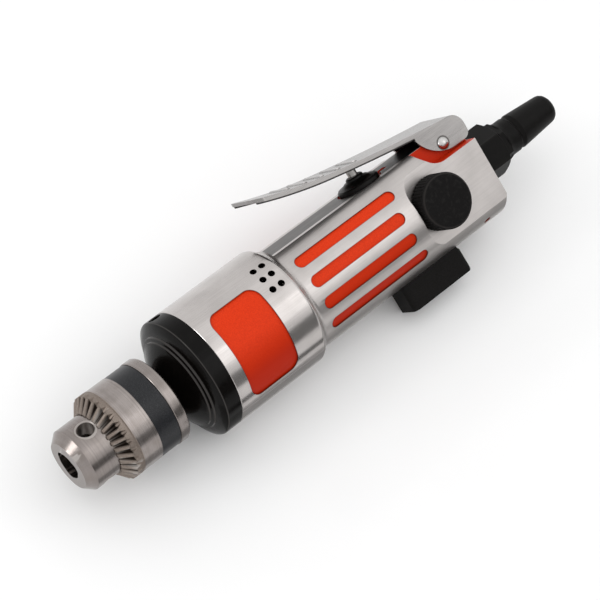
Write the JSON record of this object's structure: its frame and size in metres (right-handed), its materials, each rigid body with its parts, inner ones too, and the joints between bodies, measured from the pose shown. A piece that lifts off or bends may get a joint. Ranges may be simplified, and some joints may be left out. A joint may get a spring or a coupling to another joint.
{
  "type": "air drill",
  "caption": "Reversible inline air drill with a lever throttle, a keyed chuck, a planetary gear and a vane motor inside, and a hose plug at the rear.",
  "frame": {"origin": "centre of the chuck's nose face, on the spindle axis", "axes": "+X along the spindle from the chuck to the air inlet, +Z towards the lever, -Y towards the reversing knob"},
  "size_m": [0.2372, 0.0485, 0.0708],
  "materials": {
    "polished_aluminium": "polished, with orange-red paint left in the recesses",
    "satin_steel": "satin",
    "sheet_steel": "satin nickel",
    "bright_steel": "ground",
    "black_oxide": "black oxide on steel, semi-gloss",
    "black_plastic": "matt black",
    "rubber": "matt",
    "brass": "turned",
    "felt": "felt",
    "fibre": "phenolic fibre"
  },
  "bodies": {
    "tool": {"housing": "polished_aluminium", "clamp_nut": "black_oxide", "spindle_bearing_front": "bright_steel", "spindle_bearing_rear": "bright_steel", "ring_gear": "bright_steel", "front_end_plate": "bright_steel", "motor_cylinder": "bright_steel", "rear_end_plate": "bright_steel", "motor_gasket": "rubber", "motor_dowel": "bright_steel", "rotor_bearing_front": "bright_steel", "rotor_bearing_rear": "bright_steel", "valve_bushing": "black_oxide", "bushing_o_ring": "rubber", "throttle_spring": "bright_steel", "lever_pin": "bright_steel", "detent_ball": "bright_steel", "detent_spring": "bright_steel", "exhaust_deflector": "black_plastic", "silencer_felt": "felt", "deflector_screw": "black_oxide", "inlet_bushing": "black_oxide", "inlet_screen": "brass", "air_plug": "black_oxide"},
    "output_spindle": {"spindle": "black_oxide", "chuck_body": "satin_steel", "chuck_screw": "black_oxide", "planet_pins": "bright_steel", "planet_bushes": "brass"},
    "chuck_sleeve": {"chuck_sleeve": "satin_steel", "split_nut": "satin_steel"},
    "jaw_1": {"jaw_1": "satin_steel"},
    "jaw_2": {"jaw_2": "satin_steel"},
    "jaw_3": {"jaw_3": "satin_steel"},
    "planet_1": {"planet_gear_1": "bright_steel"},
    "planet_2": {"planet_gear_2": "bright_steel"},
    "planet_3": {"planet_gear_3": "bright_steel"},
    "rotor": {"rotor": "bright_steel", "vanes": "fibre"},
    "lever": {"throttle_lever": "sheet_steel"},
    "valve": {"valve_stem": "bright_steel", "valve_ball": "bright_steel"},
    "reverse": {"reverse_knob": "black_oxide", "reverse_spool": "brass", "spool_o_rings": "rubber", "spool_screw": "black_oxide"}
  },
  "joints": [
    {"name": "spindle_spin", "type": "hinge", "parent": "tool", "child": "output_spindle", "pos_m": [0.07, 0, 0], "axis": [-1, 0, 0], "continuous": true},
    {"name": "rotor_spin", "type": "hinge", "parent": "tool", "child": "rotor", "pos_m": [0.12, 0, 0], "axis": [-1, 0, 0], "continuous": true},
    {"name": "planet_1_spin", "type": "hinge", "parent": "output_spindle", "child": "planet_1", "pos_m": [0.0746, 0, 0.0108], "axis": [-1, 0, 0], "continuous": true},
    {"name": "planet_2_spin", "type": "hinge", "parent": "output_spindle", "child": "planet_2", "pos_m": [0.0746, -0.00935, -0.0054], "axis": [-1, 0, 0], "continuous": true},
    {"name": "planet_3_spin", "type": "hinge", "parent": "output_spindle", "child": "planet_3", "pos_m": [0.0746, 0.00935, -0.0054], "axis": [-1, 0, 0], "continuous": true},
    {"name": "sleeve_turn", "type": "hinge", "parent": "output_spindle", "child": "chuck_sleeve", "pos_m": [0.023, 0, 0], "axis": [1, 0, 0], "range_deg": [0, 3819]},
    {"name": "jaw_1_slide", "type": "slide", "parent": "output_spindle", "child": "jaw_1", "axis": [-0.9703, -0.0667, -0.2325], "range_m": [0, 0.0191]},
    {"name": "jaw_2_slide", "type": "slide", "parent": "output_spindle", "child": "jaw_2", "axis": [-0.9703, 0.2347, 0.0585], "range_m": [0, 0.0191]},
    {"name": "jaw_3_slide", "type": "slide", "parent": "output_spindle", "child": "jaw_3", "axis": [-0.9703, -0.1681, 0.174], "range_m": [0, 0.0191]},
    {"name": "lever_press", "type": "hinge", "parent": "tool", "child": "lever", "pos_m": [0.184, 0, 0.0152], "axis": [0, -1, 0], "range_deg": [0, 5.4], "stiffness_Nm_per_rad": 1.68, "springref_deg": -2.86},
    {"name": "stem_push", "type": "slide", "parent": "tool", "child": "valve", "axis": [0, 0, -1], "range_m": [0, 0.0033], "deforming": ["throttle_spring"]},
    {"name": "reverse_turn", "type": "hinge", "parent": "tool", "child": "reverse", "pos_m": [0.166, -0.02, 0], "axis": [0, 1, 0], "range_deg": [0, 90]}
  ],
  "couplings": [
    {"joint": "rotor_spin", "follows": "spindle_spin", "ratio": 6},
    {"joint": "planet_1_spin", "follows": "spindle_spin", "ratio": -2.5},
    {"joint": "planet_2_spin", "follows": "spindle_spin", "ratio": -2.5},
    {"joint": "planet_3_spin", "follows": "spindle_spin", "ratio": -2.5},
    {"joint": "jaw_1_slide", "follows": "sleeve_turn", "m_per_rad": 0.00028648},
    {"joint": "jaw_2_slide", "follows": "sleeve_turn", "m_per_rad": 0.00028648},
    {"joint": "jaw_3_slide", "follows": "sleeve_turn", "m_per_rad": 0.00028648},
    {"joint": "stem_push", "follows": "lever_press", "m_per_rad": 0.0345}
  ]
}
